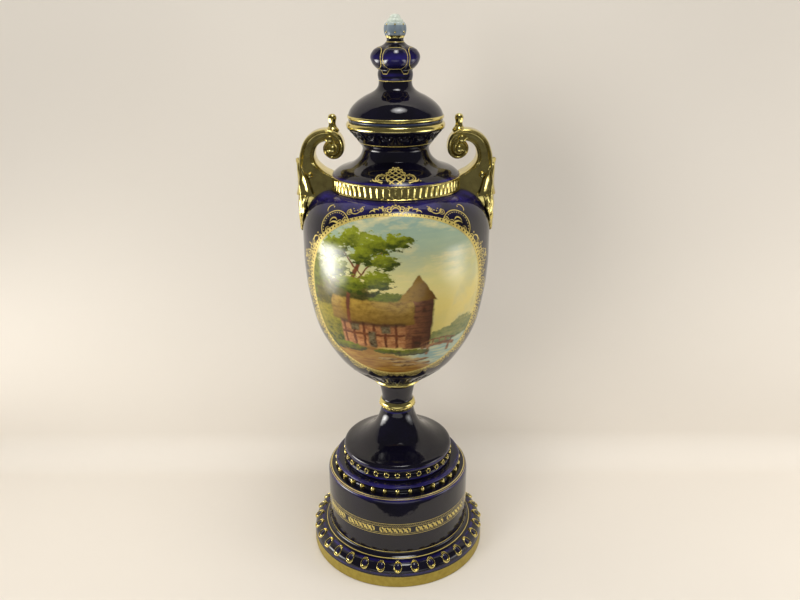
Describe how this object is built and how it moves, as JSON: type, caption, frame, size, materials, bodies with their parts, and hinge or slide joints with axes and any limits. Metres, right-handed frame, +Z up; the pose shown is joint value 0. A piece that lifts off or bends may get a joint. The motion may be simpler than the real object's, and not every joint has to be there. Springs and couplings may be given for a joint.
{
  "type": "mantel urn",
  "caption": "Tall covered mantel urn on a round stepped plinth, ovoid body with scrolled gilt handles, reeded collar, domed lid with a lobed finial and a painted landscape reserve.",
  "frame": {"origin": "centre of the plinth's underside, on the surface that the urn stands on", "axes": "+Z up along the urn's axis; the painted reserve faces -Y; the handles are on the X axis"},
  "size_m": [0.1558, 0.1546, 0.46],
  "materials": {
    "plinth_glaze": "glossy cobalt glaze with gilt beads, lines and foot band",
    "urn_glaze": "glossy cobalt glaze with burnished gilt handles and collar, and a painted reserve",
    "lid_glaze": "glossy cobalt glaze with gilt lines and a pale bud"
  },
  "bodies": {
    "root": {"plinth": "plinth_glaze", "urn": "urn_glaze", "lid": "lid_glaze"}
  },
  "joints": []
}
